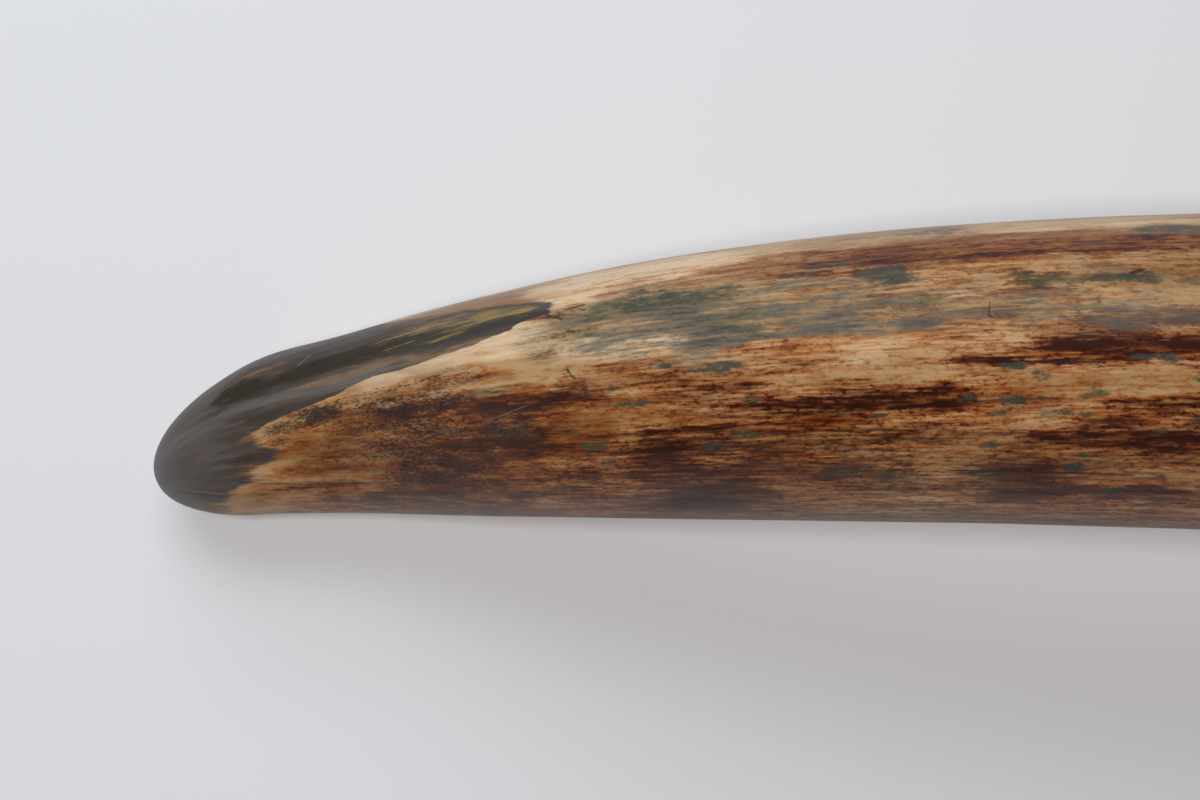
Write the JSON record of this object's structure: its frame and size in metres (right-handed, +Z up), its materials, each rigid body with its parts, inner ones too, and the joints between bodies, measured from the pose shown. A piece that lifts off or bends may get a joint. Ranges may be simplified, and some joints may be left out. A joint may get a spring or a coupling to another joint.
{
  "type": "mammoth tusk",
  "caption": "Long curved fossil tusk lying on its side, with a blunt dark worn tip, streaked brown polished ivory and an open pulp cavity in its squarely trimmed root.",
  "frame": {"origin": "on the ground, below the centre of the tusk's bounding box", "axes": "+Z up; the worn tip points to -X and the trimmed root's open face to -Y, so the inside of the curve faces -Y and the longest extent is along X"},
  "size_m": [1.1246, 0.7768, 0.1281],
  "materials": {
    "ivory": "fossil ivory with a satin wax polish, mineral stained in brown, rust, cream and blue grey"
  },
  "bodies": {
    "root": {"tusk": "ivory"}
  },
  "joints": []
}
